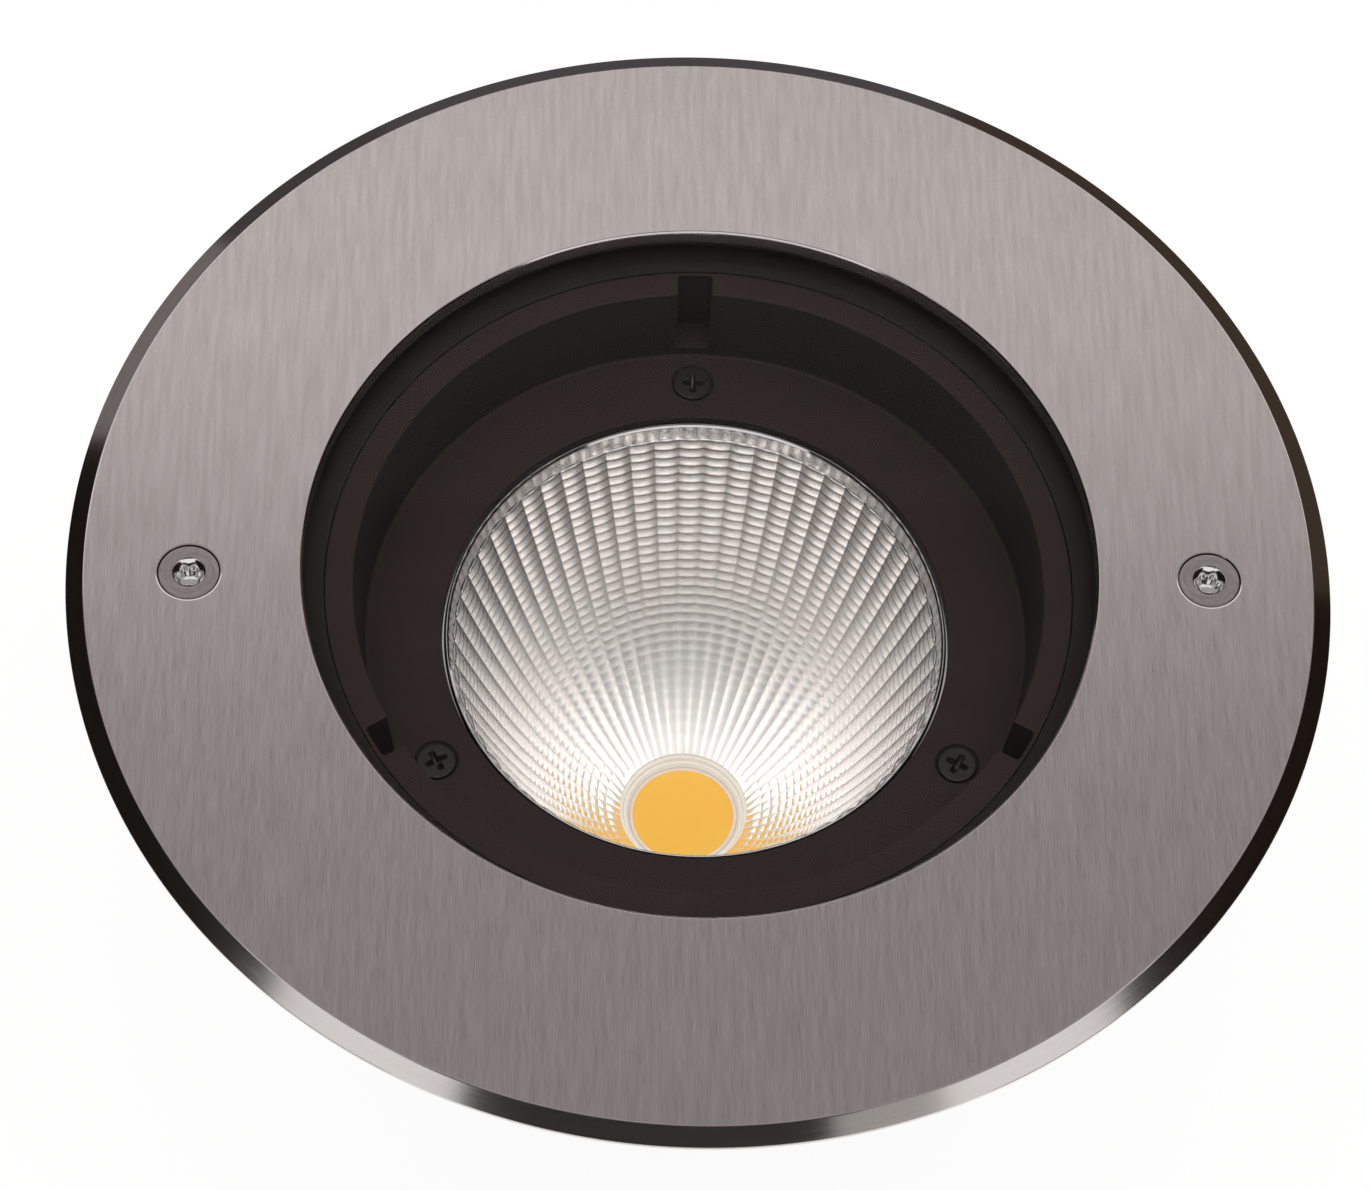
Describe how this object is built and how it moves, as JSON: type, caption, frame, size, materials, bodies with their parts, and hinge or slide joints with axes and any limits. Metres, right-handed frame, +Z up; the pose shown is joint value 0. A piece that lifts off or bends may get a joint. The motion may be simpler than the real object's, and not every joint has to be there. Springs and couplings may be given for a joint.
{
  "type": "recessed ground spotlight",
  "caption": "Round in-ground uplight: flat steel trim ring, walk-over glass, black baffle, faceted reflector with a round LED, and a ribbed cast housing with a cable gland.",
  "frame": {"origin": "centre of the flat underside of the base cover, on which the lamp stands", "axes": "+Z up, out of the glass; +Y towards the cable gland; +X to the right, where one trim screw sits 2.2 degrees below it"},
  "size_m": [0.2, 0.2, 0.1285],
  "materials": {
    "brushed_stainless": "straight-brushed stainless steel",
    "screw_steel": "bare stainless steel",
    "black_steel": "matt black coated",
    "black_screw": "black zinc-plated",
    "black_casting": "black powder-coated die casting",
    "baffle_black": "matt black",
    "clear_glass": "clear toughened glass",
    "mirror_aluminium": "faceted, vacuum-metallised",
    "amber_phosphor": "amber phosphor gel",
    "white_ceramic": "white ceramic",
    "white_plastic": "moulded white plastic",
    "black_plastic": "moulded black plastic",
    "black_rubber": "matt rubber",
    "grey_pad": "soft thermal pad",
    "bare_aluminium": "turned",
    "nickel_brass": "nickel-plated brass",
    "red_insulation": "silicone insulation",
    "black_insulation": "silicone insulation"
  },
  "bodies": {
    "housing": {"housing": "black_casting", "clamp_ring": "black_steel", "clamp_screw_1": "screw_steel", "clamp_screw_2": "screw_steel", "clamp_screw_3": "screw_steel", "clamp_screw_4": "screw_steel", "clamp_screw_5": "screw_steel", "clamp_screw_6": "screw_steel", "glass": "clear_glass", "glass_gasket": "black_rubber", "baffle": "baffle_black", "baffle_screw_1": "black_screw", "baffle_screw_2": "black_screw", "baffle_screw_3": "black_screw", "standoff_1": "nickel_brass", "standoff_2": "nickel_brass", "standoff_3": "nickel_brass", "reflector": "mirror_aluminium", "led_holder": "white_plastic", "holder_screw_1": "screw_steel", "holder_screw_2": "screw_steel", "led_emitter": "amber_phosphor", "led_board": "white_ceramic", "thermal_pad": "grey_pad", "heat_spreader": "bare_aluminium", "led_lead_red": "red_insulation", "led_lead_black": "black_insulation", "driver": "white_plastic", "driver_screw_1": "screw_steel", "driver_screw_2": "screw_steel", "terminal_block": "white_plastic", "terminal_screw": "screw_steel", "base_cover": "black_casting", "base_gasket": "black_rubber", "base_screw_1": "screw_steel", "base_screw_2": "screw_steel", "base_screw_3": "screw_steel", "base_screw_4": "screw_steel", "gland_body": "nickel_brass", "gland_washer": "black_rubber", "gland_seal": "black_rubber", "gland_locknut": "nickel_brass", "vent_plug": "black_plastic"},
    "trim": {"trim_ring": "brushed_stainless"},
    "left_screw": {"trim_screw_left": "screw_steel", "screw_retainer_left": "black_rubber"},
    "right_screw": {"trim_screw_right": "screw_steel", "screw_retainer_right": "black_rubber"},
    "gland_nut": {"gland_nut": "nickel_brass"}
  },
  "joints": [
    {"name": "trim_lift", "type": "slide", "parent": "housing", "child": "trim", "axis": [0, 0, 1], "range_m": [0, 0.06]},
    {"name": "left_screw_turn", "type": "hinge", "parent": "trim", "child": "left_screw", "pos_m": [-0.08054, -0.00309, 0.1285], "axis": [0, 0, 1], "continuous": true},
    {"name": "right_screw_turn", "type": "hinge", "parent": "trim", "child": "right_screw", "pos_m": [0.08054, -0.00309, 0.1285], "axis": [0, 0, 1], "continuous": true},
    {"name": "gland_nut_turn", "type": "hinge", "parent": "housing", "child": "gland_nut", "pos_m": [0, 0.0545, 0.0153], "axis": [0, 1, 0], "continuous": true}
  ]
}
